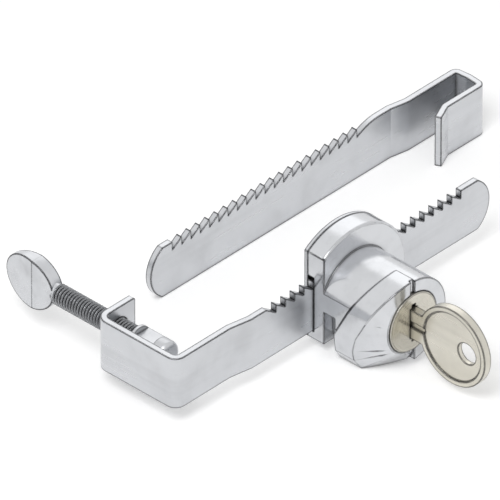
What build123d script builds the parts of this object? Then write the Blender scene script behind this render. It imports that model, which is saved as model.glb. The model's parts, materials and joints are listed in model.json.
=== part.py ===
"""Showcase lock: a ratchet bar clamped to a glass door, the key lock that slides on it, and a spare hook bar.

Millimetres, +Z up. X runs along the ratchet bar from its clamp to its free end, and the key faces -Y.
While a piece is modelled, X = 0 is the outer face of the clamp's web, Y = 0 the near face of the bar
behind the clamp, and Z = 0 the bar's bottom edge. The finished pieces are moved so that the origin is the
glass seat: the point of the bar's inner face that the clamp pad presses towards.
"""
import math
import os

from build123d import *

# Strip stock that both ratchet bars are made of
bar_height = 12.7
bar_thickness = 1.55
tooth_pitch = 25.4 / 9
tooth_depth = 2.0
tooth_count = 21
end_radius = 7.4

# Clamp bar
clamp_span = 23.6
clamp_leg_length = 10.8
clamp_wide_bend = 2.3
clamp_tight_bend = 0.9
joggle_start = 16.5
joggle_length = 5.5
joggle_shift = 1.0
joggle_bend = 2.2
first_tooth_x = 26.4
bar_tip_gap = 8.9
leg_corner_radius = 0.6

# Hook bar, standing beside the lock
hook_free_end = 28.2
hook_near_y = 34.3
hook_plain_end = 6.65
hook_joggle_start = 7.6
hook_joggle_length = 4.6
hook_joggle_shift = 0.9
hook_cross_x = 122.65
hook_throat = 5.75
hook_return_length = 12.1
hook_lip_run = 4.2
hook_lip_rise = 1.9
hook_bend = 0.95
hook_bow = 0.3
hook_bow_bend = 6.0
hook_lip_bend = 1.6
hook_run_out = 6.4

# Thumbscrew and pad
screw_x = 5.9
screw_rise = 1.05
thread_pitch = 25.4 / 32
thread_major_radius = 2.4
thread_depth = 0.5
thread_length = 23.6
screw_pin_radius = 1.5
screw_pin_length = 5.0
paddle_length = 14.7
paddle_height = 12.3
paddle_crease = 6.1
paddle_thickness = 3.3
paddle_root_thickness = 3.2
paddle_tip_thickness = 0.8
paddle_sink = 0.6
neck_height = 2.4
neck_taper = 0.86
pad_radius = 3.15
pad_length = 9.6
pad_nose_radius = 1.3
pad_window_length = 5.4
pad_window_depth = 1.2
pad_window_wall = 0.9
glass_room = 5.65

# Lock housing
rest_notch = 8
pawl_tooth_left = -1.02
lock_axis_rise = 0.85
flange_radius = 15.6
flange_wall = 2.95
flange_gap = 3.05
flat_cut = 0.7
flange_foot = 2.0
barrel_radius = 10.15
barrel_length = 16.6
face_lip = 0.45
plate_thickness = 1.0
groove_width = 1.2
groove_depth = 0.45
band_width = 5.4
band_rise = 0.35
band_start = 3.1
band_tilt = 0.54
band_mid_depth = 11.1
foot_tilt = 0.617
foot_mid_depth = 14.4
shoulder_rise = 0.5
notch_top = -1.1
notch_depth = 2.9
band_turn_share = 0.667
side_low_share = 0.37
corner_mid_share = (0.926, 0.897)
corner_low_share = (0.788, 1.133)
belly_share = (0.296, 1.118)
belly_end_share = 1.06

# Plug and key
plug_face_radius = 7.0
plug_face_thickness = 1.6
plug_face_proud = 0.3
plug_radius = 6.2
plug_tail_radius = 3.0
plug_rear_wall = 1.4
web_thickness = 1.35
clip_thickness = 0.6
clip_groove_radius = 2.4
clip_radius = 4.2
key_thickness = 2.0
blade_height = 7.3
blade_end_gap = 0.4
bow_radius = 9.4
bow_offset = 11.9
bow_rim_width = 1.3
bow_recess = 0.35
mill_width = 1.5
mill_depth = 0.45
key_ring_radius = 2.5
key_ring_offset = 3.9
bitting = (0.5, 1.0, 0.3, 0.8, 0.6)
wafer_count = 5
wafer_thickness = 0.9
last_wafer_wall = 1.15
wafer_width = 6.4
wafer_height = 10.4
first_wafer_depth = 2.6
wafer_spring_radius = 0.45
wafer_spring_length = 3.0

# Pawl and its drive
pawl_overlift = 0.35
drive_pin_radius = 0.9
pawl_head_width = 9.0
pawl_head_height = 3.2
tongue_width = 5.1
tongue_thickness = 1.6
pawl_spring_radius = 1.4
pawl_spring_wire = 0.4
pawl_spring_turns = 4.5
pawl_spring_room = 4.6
pawl_spring_spread = 2.6

# Cover screws
cover_screw_radius = 0.8
cover_screw_length = 3.4
cover_screw_head_radius = 1.5
cover_screw_places = ((-6.4, 11.0), (8.2, 10.4))
spigot_radius = 0.55
spigot_places = (-7.0, 8.4)

# Clearances
running = 0.05
sliding = 0.1
tooth_clearance = 0.08

# Places that follow from the sizes above
screw_z = bar_height / 2 + screw_rise
lock_axis_z = bar_height / 2 + lock_axis_rise
flat_x = flat_cut - barrel_radius
corner_mid = (-corner_mid_share[0] * barrel_radius, -corner_mid_share[1] * barrel_radius)
corner_low = (-corner_low_share[0] * barrel_radius, -corner_low_share[1] * barrel_radius)
belly_point = (-belly_share[0] * barrel_radius, -belly_share[1] * barrel_radius)
belly_end = -belly_end_share * barrel_radius
ratchet_near_y = -joggle_shift
pawl_lift = tooth_depth + pawl_overlift
drive_pin_orbit = pawl_lift / math.sqrt(2)
lock_axis_x = first_tooth_x + rest_notch * tooth_pitch - pawl_tooth_left
slot_front = -flange_wall
slot_rear = slot_front - bar_thickness - 2 * sliding
flange_front_y = ratchet_near_y - sliding + slot_front
slot_bottom = -sliding - lock_axis_z
slot_top = bar_height + 0.9 - lock_axis_z
housing_foot = slot_bottom - flange_foot
plug_face = barrel_length + plug_face_proud
thread_end_y = bar_thickness + glass_room + pad_length + running
pawl_rest_z = bar_height + sliding - lock_axis_z
pocket_front = slot_front + tongue_thickness + 2 * sliding
tongue_front = pocket_front - sliding
pocket_top = pawl_rest_z + pawl_head_height + pawl_spring_room
lock_place = Plane(
    origin=(lock_axis_x, flange_front_y, lock_axis_z), x_dir=(1, 0, 0), z_dir=(0, -1, 0)
).location
glass_seat = Vector(screw_x, bar_thickness, screw_z)


def block(u_low, u_high, v_low, v_high, d_low, d_high):
    """A box between its limits."""
    size = (u_high - u_low, v_high - v_low, d_high - d_low)
    middle = ((u_high + u_low) / 2, (v_high + v_low) / 2, (d_high + d_low) / 2)
    return Pos(*middle) * Box(*size)


def rod(radius, d_low, d_high, u=0.0, v=0.0):
    """A cylinder along the third axis, between two depths."""
    return Pos(u, v, (d_low + d_high) / 2) * Cylinder(radius, d_high - d_low)


def on_circle(radius, angle):
    """The point of a circle round the lock's axis, at an angle in degrees."""
    return (radius * math.cos(math.radians(angle)), radius * math.sin(math.radians(angle)))


def strip(points, radii, base_z):
    """Flat stock on edge, bent along a plan of points with a bend radius at each corner."""
    path = FilletPolyline(*[(x, y, base_z + bar_height / 2) for x, y in points], radius=radii)
    section = Plane(origin=path @ 0, x_dir=(0, 0, 1), z_dir=path % 0) * Rectangle(bar_height, bar_thickness)
    return sweep(section, path=path)


def tooth_notches(start_x, step, base_z, y_middle):
    """The ratchet's notches: each falls from the crest along step, and its far flank is upright."""
    top = base_z + bar_height
    cuts = Sketch()
    for number in range(tooth_count):
        near_x = start_x + number * step
        far_x = near_x + step
        cuts += make_face(
            Polyline(
                (near_x, top), (far_x, top - tooth_depth), (far_x, top + 1), (near_x, top + 1), close=True
            )
        )
    face = Plane(origin=(0, y_middle, 0), x_dir=(1, 0, 0), z_dir=(0, -1, 0)) * cuts
    return extrude(face, bar_thickness, both=True)


def tip_cut(tip_x, direction, base_z, y_middle):
    """What is taken off a square bar end to leave its round tip."""
    centre_x = tip_x - direction * end_radius
    reach = end_radius * 0.8
    corner = block(
        min(centre_x + direction * 3, tip_x + direction * reach),
        max(centre_x + direction * 3, tip_x + direction * reach),
        y_middle - bar_thickness,
        y_middle + bar_thickness,
        base_z - 1,
        base_z + bar_height + 1,
    )
    disc = Pos(centre_x, y_middle, base_z + bar_height / 2) * Rot(90, 0, 0) * Cylinder(end_radius, 4 * bar_thickness)
    return corner - disc


def clamp_bar():
    """Ratchet bar whose end is bent into the U of the glass clamp."""
    half = bar_thickness / 2
    tip_x = first_tooth_x + tooth_count * tooth_pitch + bar_tip_gap
    points = [
        (clamp_leg_length, clamp_span - half),
        (half, clamp_span - half),
        (half, half),
        (joggle_start, half),
        (joggle_start + joggle_length, half - joggle_shift),
        (tip_x, half - joggle_shift),
    ]
    radii = [clamp_wide_bend, clamp_tight_bend + half, joggle_bend, joggle_bend]
    bar = strip(points, radii, 0)
    ratchet_y = half - joggle_shift
    bar -= tooth_notches(first_tooth_x, tooth_pitch, 0, ratchet_y)
    bar -= tip_cut(tip_x, 1, 0, ratchet_y)
    hole = Pos(screw_x, clamp_span - half, screw_z) * Rot(90, 0, 0) * Cylinder(
        thread_major_radius + running, 3 * bar_thickness
    )
    bar -= hole
    leg_corners = bar.edges().filter_by(Axis.Y).filter_by_position(
        Axis.X, clamp_leg_length - 0.01, clamp_leg_length + 0.01
    )
    return fillet(leg_corners, leg_corner_radius)


def run_out(start_x, base_z, y_middle):
    """Long round slope by which the hook bar's last notch climbs back to the full height."""
    top = base_z + bar_height
    root = (start_x, top - tooth_depth)
    middle = (start_x + 0.42 * hook_run_out, top - 0.36 * tooth_depth)
    end = (start_x + hook_run_out, top)
    edges = [ThreePointArc(root, middle, end), Polyline(end, (end[0], top + 1), (start_x, top + 1), root)]
    face = Plane(origin=(0, y_middle, 0), x_dir=(1, 0, 0), z_dir=(0, -1, 0)) * make_face(edges)
    return extrude(face, bar_thickness, both=True)


def hook_bar():
    """Spare ratchet bar with a hook for a door's edge instead of the clamp."""
    half = bar_thickness / 2
    main_y = hook_near_y + half
    base_z = lock_axis_z + corner_low[1]
    teeth_end = hook_free_end + hook_plain_end + tooth_count * tooth_pitch
    joggle_x = teeth_end + hook_joggle_start
    hook_y = main_y - hook_joggle_shift
    return_y = hook_y - hook_throat - bar_thickness
    return_x = hook_cross_x - hook_return_length
    points = [
        (hook_free_end, main_y),
        (joggle_x, main_y),
        (joggle_x + hook_joggle_length, hook_y),
        (hook_cross_x - half - hook_bow, hook_y),
        (hook_cross_x - half, (hook_y + return_y) / 2),
        (hook_cross_x - half - hook_bow, return_y),
        (return_x, return_y),
        (return_x - hook_lip_run, return_y - hook_lip_rise),
    ]
    radii = [joggle_bend, joggle_bend, hook_bend, hook_bow_bend, hook_bend, hook_lip_bend]
    bar = strip(points, radii, base_z)
    bar -= tooth_notches(teeth_end, -tooth_pitch, base_z, main_y)
    bar -= run_out(teeth_end - tooth_pitch, base_z, main_y)
    bar -= tip_cut(hook_free_end, -1, base_z, main_y)
    return bar


def thread(start_y, length):
    """Ridged shank along +Y: a core with one ridge for each turn of the thread."""
    core = thread_major_radius - thread_depth
    points = [(0, 0), (core, 0)]
    turns = int(length / thread_pitch)
    for turn in range(turns):
        low = turn * thread_pitch
        points += [
            (core, low + 0.1 * thread_pitch),
            (thread_major_radius, low + 0.42 * thread_pitch),
            (thread_major_radius, low + 0.58 * thread_pitch),
            (core, low + 0.9 * thread_pitch),
        ]
    points += [(core, length), (0, length)]
    shank = revolve(make_face(Polyline(*points, close=True)), axis=Axis.Y)
    return Pos(0, start_y, 0) * shank


def thumbscrew():
    """Screw with an oval paddle head, its pin end running in the pad."""
    thread_top = thread_end_y + thread_length
    shank = thread(thread_end_y, thread_length)
    pin_low = thread_end_y - screw_pin_length
    pin = Pos(0, (pin_low + thread_end_y) / 2, 0) * Rot(90, 0, 0) * Cylinder(screw_pin_radius, screw_pin_length)
    root, ridge, tip = paddle_root_thickness / 2, paddle_thickness / 2, paddle_tip_thickness / 2
    right = [(root, 0), (ridge, paddle_crease), (tip, paddle_length)]
    left = [(-x, y) for x, y in reversed(right)]
    oval = Plane.YZ * Pos(paddle_length / 2, 0) * Ellipse(paddle_length / 2, paddle_height / 2)
    head = extrude(oval, paddle_thickness, both=True)
    head &= extrude(make_face(Polyline(*right, *left, close=True)), paddle_height, both=True)
    head = Pos(0, thread_top - paddle_sink, 0) * head
    neck = Rot(90, 0, 0) * Cone(thread_major_radius, neck_taper * thread_major_radius, neck_height)
    neck = Pos(0, thread_top + neck_height / 2 - thread_depth, 0) * neck
    return Pos(screw_x, 0, screw_z) * (shank + pin + neck + head)


def clamp_pad():
    """Swivel foot on the screw's pin, domed where it meets the glass."""
    nose_y = bar_thickness + glass_room
    body = Rot(-90, 0, 0) * Cylinder(pad_radius, pad_length, align=(Align.CENTER, Align.CENTER, Align.MIN))
    nose = body.edges().sort_by(Axis.Y)[0]
    body = fillet(nose, pad_nose_radius)
    bore_depth = screw_pin_length + sliding
    bore = Pos(0, pad_length - bore_depth / 2 + 0.5, 0) * Rot(90, 0, 0) * Cylinder(
        screw_pin_radius + running, bore_depth + 1
    )
    window_end = pad_length - pad_window_wall
    window = block(
        -pad_radius,
        pad_radius,
        window_end - pad_window_length,
        window_end,
        pad_radius - pad_window_depth,
        pad_radius + 1,
    )
    return Pos(screw_x, nose_y, screw_z) * (body - bore - window)


def flange_outline():
    """Disc with the flat that meets the door's edge and a level foot."""
    disc = Circle(flange_radius)
    reach = 2 * flange_radius
    left = Pos(flat_x - reach / 2, 0) * Rectangle(reach, 2 * reach)
    foot = Pos(0, housing_foot - reach / 2) * Rectangle(2 * reach, reach)
    return disc - left - foot


def band_points():
    """Radius of the front band and three points of its left half: the top and both ends of its tighter turn.

    The turn is an arc that touches the band's circle inside and its flat side. Its centre is therefore one turn
    radius from the side, and as far from the axis as the two radii differ.
    """
    band_radius = barrel_radius + band_rise
    side_x = flat_x - band_rise
    top_v = math.sqrt(band_radius**2 - (groove_width / 2) ** 2)
    turn_radius = band_turn_share * band_radius
    turn_x = side_x + turn_radius
    turn_v = math.sqrt((band_radius - turn_radius) ** 2 - turn_x**2)
    reach = band_radius / (band_radius - turn_radius)
    return band_radius, (groove_width / 2, top_v), (turn_x * reach, turn_v * reach), (side_x, turn_v)


def half_ring_face(radius, angles):
    """Left half of a disc whose rim is split at the given angles."""
    stops = [on_circle(radius, angle) for angle in angles]
    edges = []
    for number in range(len(stops) - 1):
        middle = on_circle(radius, (angles[number] + angles[number + 1]) / 2)
        edges.append(ThreePointArc(stops[number], middle, stops[number + 1]))
    edges.append(Line(stops[-1], stops[0]))
    return make_face(edges)


def band_outline():
    """Left half of the body's front outline, with its corner below the barrel."""
    band_radius, top, turn, side = band_points()
    top_angle = math.degrees(math.atan2(top[1], top[0]))
    turn_angle = math.degrees(math.atan2(turn[1], turn[0]))
    side_low = (side[0], -side_low_share * barrel_radius)
    foot = (groove_width / 2, belly_end)
    edges = [
        ThreePointArc(top, on_circle(band_radius, (top_angle + turn_angle) / 2), turn),
        TangentArc(turn, side, tangent=(-turn[1], turn[0])),
        Line(side, side_low),
        TangentArc(side_low, corner_mid, tangent=(0, -1)),
        Line(corner_mid, corner_low),
        ThreePointArc(corner_low, belly_point, foot),
        Line(foot, top),
    ]
    corners = [top, turn, side, side_low, corner_mid, corner_low, foot]
    return make_face(edges), corners


def sloped_front(tilt_u, tilt_v, level):
    """Body under a tilted rim plane, drawn in from there to the ring round the plug."""
    outline, corners = band_outline()
    normal = Vector(-tilt_u, -tilt_v, 1)
    rim_plane = Plane(origin=(0, 0, level), z_dir=normal)
    prism = extrude(Pos(0, 0, band_start) * outline, barrel_length)
    under = split(prism, bisect_by=rim_plane, keep=Keep.BOTTOM)
    rim = under.faces().filter_by(lambda face: abs(face.normal_at().dot(normal.normalized())) > 0.999)[0]
    ring_radius = plug_face_radius + face_lip
    angles = [math.degrees(math.atan2(v, u)) % 360 for u, v in corners]
    ring_u = groove_width / 2
    first = math.degrees(math.acos(ring_u / ring_radius))
    angles[0] = first
    angles[-1] = 360 - first
    ring = Pos(0, 0, barrel_length) * half_ring_face(ring_radius, angles)
    return under + loft([rim, ring], ruled=True)


def front_band():
    """The band that sweeps round the barrel's left side and hangs below it as a corner.

    The front is the furthest of three tilted planes: the sweep's, the foot's, and a shoulder halfway between
    them that stands a little further out where the two cross.
    """
    shoulder_mid_depth = (band_mid_depth + foot_mid_depth) / 2 + shoulder_rise
    band = sloped_front(0, band_tilt, band_mid_depth) + sloped_front(foot_tilt, 0, foot_mid_depth)
    band += sloped_front(foot_tilt / 2, band_tilt / 2, shoulder_mid_depth)
    rear = Plane(origin=(0, 0, band_mid_depth - band_width), z_dir=(0, -band_tilt, 1))
    return split(band, bisect_by=rear, keep=Keep.TOP)


def barrel():
    """Round barrel in front of the flange, cut by the flat on its left."""
    body = rod(barrel_radius, 0, barrel_length)
    body -= block(-2 * barrel_radius, flat_x, -barrel_radius, barrel_radius, -1, barrel_length + 1)
    sloped_side = block(
        -2 * barrel_radius, groove_width / 2, -barrel_radius - 1, barrel_radius + 1, band_start, barrel_length + 1
    )
    return body, sloped_side


def lock_housing():
    """Die-cast body: flange with the bar slot, barrel, front band and the pockets for the works."""
    flange = extrude(Pos(0, 0, slot_rear) * flange_outline(), -slot_rear)
    flange_rim = flange.edges().filter_by(GeomType.CIRCLE).sort_by(Axis.Z)[-1]
    flange = fillet(flange_rim, 0.5)
    body, sloped_side = barrel()
    band = front_band()
    rear_plane = Plane(origin=(0, 0, band_mid_depth - band_width + 0.5), z_dir=(0, -band_tilt, 1))
    behind_band = split(body, bisect_by=rear_plane, keep=Keep.BOTTOM)
    right_side = body - sloped_side
    housing = flange + behind_band + right_side + band
    housing -= block(flat_x - 1, flat_x + notch_depth, -2 * barrel_radius, notch_top, 0, band_start)
    groove_low = barrel_length - groove_depth
    housing -= block(
        -groove_width / 2, groove_width / 2, -2 * barrel_radius, 2 * barrel_radius, groove_low, barrel_length + 1
    )
    return housing - housing_hollows()


def housing_hollows():
    """Everything that is open inside the housing."""
    reach = 2 * flange_radius
    slot = block(-reach, reach, slot_bottom, slot_top, slot_rear - 1, slot_front)
    head_half = pawl_head_width / 2 + running
    pawl_room = block(-head_half, head_half, slot_top - 1, pocket_top, slot_rear - 1, pocket_front)
    tongue_left, tongue_right, tongue_low = tongue_limits()
    tongue_room = block(
        tongue_left - running,
        tongue_right + running,
        tongue_low - sliding,
        slot_top,
        slot_front - 0.5,
        pocket_front,
    )
    web_rear = clip_room_front()
    clip_room = rod(clip_radius + 0.4, slot_front, web_rear)
    tail_hole = rod(plug_tail_radius + running, web_rear - 0.5, web_rear + web_thickness + 0.5)
    bore = rod(plug_radius + running, web_rear + web_thickness, barrel_length + 1)
    face_depth = plug_face - plug_face_thickness - sliding
    face_seat = rod(plug_face_radius + running, face_depth, barrel_length + 1)
    hollows = slot + pawl_room + tongue_room + clip_room + tail_hole + bore + face_seat
    for u, v in cover_screw_places:
        hollows += rod(cover_screw_radius + 0.02, slot_rear - 1, slot_rear + cover_screw_length, u, v)
    for u in spigot_places:
        hollows += rod(spigot_radius + 0.02, slot_rear - 1, slot_rear + 1.3, u, spigot_v())
    return hollows


def clip_room_front():
    """Depth at which the web that carries the plug's tail begins."""
    return pocket_front + 4 * clip_thickness


def spigot_v():
    """Height of the cover's spigots, in the middle of the flange's foot."""
    return (housing_foot + slot_bottom) / 2


def tongue_limits():
    """Left, right and lower limits of the pawl's tongue."""
    pin_low = -drive_pin_orbit / math.sqrt(2)
    window_half = drive_pin_radius + sliding
    right = pin_low + window_half + 1.3
    left = right - tongue_width
    low = pin_low - window_half - 1.4
    return left, right, low


def back_plate():
    """Cover that closes the bar slot, held by two screws and two spigots."""
    plate = extrude(Pos(0, 0, slot_rear - plate_thickness) * flange_outline(), plate_thickness)
    for u, v in cover_screw_places:
        plate -= cover_screw(u, v, sliding / 2)
    for u in spigot_places:
        plate += rod(spigot_radius, slot_rear - 0.2, slot_rear + 1.2, u, spigot_v())
    return plate


def cover_screw(u, v, grow=0.0):
    """Countersunk screw with its head flush in the cover."""
    head_low = slot_rear - plate_thickness
    shank = rod(cover_screw_radius + grow, head_low, slot_rear + cover_screw_length - 0.2, u, v)
    cone_height = cover_screw_head_radius - cover_screw_radius
    cone = Pos(u, v, head_low + cone_height / 2) * Cone(
        cover_screw_head_radius + grow, cover_screw_radius + grow, cone_height
    )
    screw = shank + cone
    if grow:
        return screw
    cross_low = head_low - 0.1
    for long_u, long_v in ((1.6, 0.32), (0.32, 1.6)):
        screw -= block(
            u - long_u / 2, u + long_u / 2, v - long_v / 2, v + long_v / 2, cross_low, head_low + 0.45
        )
    return screw


def cover_screws():
    """The cover's two screws, as separate solids."""
    return Compound(children=[cover_screw(u, v) for u, v in cover_screw_places])


def keyway_end():
    """Depth of the keyway's closed end."""
    return clip_room_front() + web_thickness + running + plug_rear_wall


def wafer_depth(number):
    """Depth of a wafer's middle plane: they stand evenly from behind the plug's face to the keyway's end."""
    first = plug_face - first_wafer_depth - plug_face_thickness + wafer_thickness
    last = keyway_end() + last_wafer_wall
    return first + (last - first) * number / (wafer_count - 1)


def lock_plug():
    """Key plug with its keyway, wafer slots, tail and the eccentric pin that drives the pawl."""
    web_rear = clip_room_front()
    body_low = web_rear + web_thickness + running
    tail_low = pocket_front + sliding
    plug = rod(plug_radius, body_low, plug_face - 0.5)
    plug += rod(plug_face_radius, plug_face - plug_face_thickness, plug_face)
    rim = plug.edges().filter_by(GeomType.CIRCLE).sort_by(Axis.Z)[-1]
    plug = fillet(rim, 0.25)
    plug += rod(plug_tail_radius, tail_low, body_low + 0.5)
    groove_low = web_rear - clip_thickness - 2 * running
    groove = rod(plug_tail_radius + 1, groove_low - running, groove_low + clip_thickness + running)
    plug -= groove - rod(clip_groove_radius, groove_low - 1, groove_low + 2)
    keyway_low = keyway_end()
    half_t = key_thickness / 2 + running
    half_h = blade_height / 2 + running
    plug -= block(-half_t, half_t, -half_h, half_h, keyway_low, plug_face + 1)
    for side in (1, -1):
        ward = block(-0.5, 0.5, half_h - 0.5, half_h + 0.9, plug_face - 1.1, plug_face + 1)
        plug -= ward if side > 0 else ward.mirror(Plane.XZ)
    for number in range(wafer_count):
        middle = wafer_depth(number)
        low = middle - wafer_thickness / 2 - running
        high = middle + wafer_thickness / 2 + running
        half_w = wafer_width / 2 + running
        plug -= block(-half_w, half_w, -plug_radius - 1, plug_radius + 1, low, high)
        side_u = half_w + 2 * wafer_spring_radius + 0.6
        plug -= block(0, side_u, -0.9, wafer_spring_length + running, low, high)
    pin_at = -drive_pin_orbit / math.sqrt(2)
    plug += rod(drive_pin_radius, slot_front + sliding, tail_low + 0.3, pin_at, pin_at)
    return plug


def wafer(number):
    """Wafer with its key window and the arm that its spring pushes on."""
    middle = wafer_depth(number)
    low = middle - wafer_thickness / 2
    high = middle + wafer_thickness / 2
    half_w = wafer_width / 2
    half_h = wafer_height / 2
    plate = block(-half_w, half_w, -half_h, half_h, low, high)
    plate += block(0, half_w + 2 * wafer_spring_radius + 0.5, -0.8, -0.1, low, high)
    window_u = key_thickness / 2 + sliding
    window_v = blade_height / 2 + sliding
    return plate - block(-window_u, window_u, -window_v, window_v, low - 1, high + 1)


def wafer_spring(number):
    """Sleeve in the place of a wafer's fine coil spring."""
    u = wafer_width / 2 + wafer_spring_radius + 0.3
    length = wafer_spring_length + 0.1 - running
    sleeve = Cylinder(wafer_spring_radius, length) - Cylinder(wafer_spring_radius * 0.6, length + 1)
    return Pos(u, -0.1 + length / 2, wafer_depth(number)) * Rot(90, 0, 0) * sleeve


def plug_clip():
    """Open ring that snaps into the tail's groove and keeps the plug in."""
    low = clip_room_front() - clip_thickness - 2 * running
    ring = rod(clip_radius, low, low + clip_thickness) - rod(clip_groove_radius + running, low - 1, low + 2)
    return ring - block(0, 2 * clip_radius, -1.3, 1.3, low - 1, low + 2)


def pawl():
    """Pawl with one ratchet tooth over the bar and a tongue that the plug's pin lifts."""
    half = pawl_head_width / 2
    head_low = pawl_rest_z
    head = block(-half, half, head_low, head_low + pawl_head_height, slot_rear + sliding, tongue_front)
    left, right, low = tongue_limits()
    tongue_rear = tongue_front - tongue_thickness
    tongue = block(left, right, low, head_low + 0.5, tongue_rear, tongue_front)
    pin_at = -drive_pin_orbit / math.sqrt(2)
    window_half = drive_pin_radius + sliding
    window = block(
        -drive_pin_orbit - window_half,
        pin_at + window_half,
        pin_at - window_half,
        pin_at + window_half,
        tongue_rear - 1,
        tongue_front + 1,
    )
    gap = tooth_clearance
    root_v = bar_height - tooth_depth - lock_axis_z + gap
    left_u = pawl_tooth_left + 2 * gap
    right_u = pawl_tooth_left + tooth_pitch - gap
    profile = Polyline(
        (left_u, head_low + 0.3), (left_u, head_low), (right_u, root_v), (right_u, head_low + 0.3), close=True
    )
    tooth_face = make_face(profile)
    tooth_low = slot_rear + sliding
    tooth = extrude(Pos(0, 0, tooth_low) * tooth_face, bar_thickness)
    return head + tongue - window + tooth


def pawl_spring(side):
    """Coil spring that presses the pawl into the teeth."""
    radius = pawl_spring_radius - pawl_spring_wire / 2
    height = pawl_spring_room - 2 * running - pawl_spring_wire
    path = Helix(pitch=height / pawl_spring_turns, height=height, radius=radius)
    section = Plane(origin=path @ 0, z_dir=path % 0) * Circle(pawl_spring_wire / 2)
    coil = sweep(section, path=path, is_frenet=True)
    base_v = pawl_rest_z + pawl_head_height + running + pawl_spring_wire / 2
    middle_d = (pocket_front + slot_rear) / 2
    return Pos(side * pawl_spring_spread, base_v, middle_d) * Rot(-90, 0, 0) * coil


def key():
    """Flat key: cut blade, necked shoulder and a round rimmed bow with a ring hole."""
    half_t = key_thickness / 2
    half_h = blade_height / 2
    tip = keyway_end() + blade_end_gap
    bow_d = plug_face + bow_offset
    blade_face = Plane.YZ * make_face(
        Polyline(
            (-half_h + 1.4, tip), (half_h - 1.4, tip), (half_h, tip + 1.4), (half_h, bow_d), (-half_h, bow_d),
            (-half_h, tip + 1.4), close=True,
        )
    )
    flat = extrude(blade_face, half_t, both=True)
    bow = Pos(0, 0, bow_d) * Rot(0, 90, 0) * Cylinder(bow_radius, key_thickness)
    flat += bow
    for number, cut in enumerate(bitting):
        depth = wafer_depth(number)
        for side in (1, -1):
            notch = Plane.YZ * make_face(
                Polyline(
                    (side * (half_h - cut), depth - 0.35),
                    (side * (half_h - cut), depth + 0.35),
                    (side * (half_h + 0.2), depth + 0.75),
                    (side * (half_h + 0.2), depth - 0.75),
                    close=True,
                )
            )
            flat -= extrude(notch, key_thickness, both=True)
    recess_radius = bow_radius - bow_rim_width
    for side in (1, -1):
        recess = Pos(side * half_t, 0, bow_d) * Rot(0, 90, 0) * Cylinder(recess_radius, 2 * bow_recess)
        flat -= recess
        groove_end = bow_d - bow_radius + mill_width / 2
        floor = half_t - mill_depth
        groove = block(floor, half_t + 1, -mill_width / 2, mill_width / 2, tip - 1, groove_end)
        groove += Pos(floor, 0, groove_end) * Rot(0, 90, 0) * Cylinder(
            mill_width / 2, 1 + mill_depth, align=(Align.CENTER, Align.CENTER, Align.MIN)
        )
        flat -= groove if side > 0 else groove.mirror(Plane.YZ)
    ring_hole = Pos(0, 0, bow_d + key_ring_offset) * Rot(0, 90, 0) * Cylinder(key_ring_radius, 4 * key_thickness)
    return flat - ring_hole


def write(name, shape, in_lock=True):
    """Move a piece to the part's origin and write it under its node's name."""
    placed = lock_place * shape if in_lock else shape
    placed = Pos(*(-glass_seat)) * placed
    placed.label = name
    export_step(placed, os.path.join("parts", name + ".step"))


def main():
    os.makedirs("parts", exist_ok=True)
    write("clamp_bar", clamp_bar(), in_lock=False)
    write("hook_bar", hook_bar(), in_lock=False)
    write("thumbscrew", thumbscrew(), in_lock=False)
    write("clamp_pad", clamp_pad(), in_lock=False)
    write("lock_housing", lock_housing())
    write("back_plate", back_plate())
    write("cover_screws", cover_screws())
    write("lock_plug", lock_plug())
    write("plug_clip", plug_clip())
    write("pawl", pawl())
    write("key", key())
    for number in range(wafer_count):
        write("wafer_" + str(number + 1), wafer(number))
        write("wafer_spring_" + str(number + 1), wafer_spring(number))
    for number, side in enumerate((-1, 1)):
        write("pawl_spring_" + str(number + 1), pawl_spring(side))


if __name__ == "__main__":
    main()
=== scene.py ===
"""Showcase lock: the finished look of the ratchet bars, clamp screw, lock body and key, in metres.

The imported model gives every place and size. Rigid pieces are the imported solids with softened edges, and the
thumbscrew, its thread and the coil springs are surfaces worked out here.
"""

import json
import math

import bmesh
import bpy
import numpy as np
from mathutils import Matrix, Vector


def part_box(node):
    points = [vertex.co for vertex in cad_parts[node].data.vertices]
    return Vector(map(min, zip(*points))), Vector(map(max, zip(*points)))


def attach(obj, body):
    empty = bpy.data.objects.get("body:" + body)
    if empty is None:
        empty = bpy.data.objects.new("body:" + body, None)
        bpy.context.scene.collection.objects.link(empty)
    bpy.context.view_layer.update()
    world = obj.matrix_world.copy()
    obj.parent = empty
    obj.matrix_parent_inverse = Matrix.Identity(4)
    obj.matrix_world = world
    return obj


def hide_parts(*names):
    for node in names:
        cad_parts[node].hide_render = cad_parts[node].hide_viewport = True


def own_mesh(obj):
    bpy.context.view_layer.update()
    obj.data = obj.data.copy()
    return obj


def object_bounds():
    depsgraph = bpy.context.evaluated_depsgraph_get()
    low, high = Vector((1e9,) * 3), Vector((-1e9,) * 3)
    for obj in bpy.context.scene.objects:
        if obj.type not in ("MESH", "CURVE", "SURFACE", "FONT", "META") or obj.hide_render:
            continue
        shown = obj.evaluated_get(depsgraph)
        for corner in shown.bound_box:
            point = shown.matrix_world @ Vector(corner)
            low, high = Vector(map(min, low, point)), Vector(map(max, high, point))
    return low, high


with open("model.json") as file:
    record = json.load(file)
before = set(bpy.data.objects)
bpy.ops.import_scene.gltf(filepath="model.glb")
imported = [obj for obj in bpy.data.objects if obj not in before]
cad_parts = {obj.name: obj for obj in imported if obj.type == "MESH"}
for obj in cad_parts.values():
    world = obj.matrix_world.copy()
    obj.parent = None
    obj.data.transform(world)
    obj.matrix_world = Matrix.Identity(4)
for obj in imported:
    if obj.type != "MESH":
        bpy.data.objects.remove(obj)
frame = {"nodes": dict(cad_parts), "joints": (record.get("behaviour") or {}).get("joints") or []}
cad_low, cad_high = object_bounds()

bl_info = {
    "name": "Showcase lock",
    "version": (1, 0, 0),
    "blender": (4, 5, 0),
    "location": "View3D > Sidebar > Showcase lock",
    "description": "Builds the finished pieces of a ratchet showcase lock round its packed model",
    "category": "Add Mesh",
}

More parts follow.
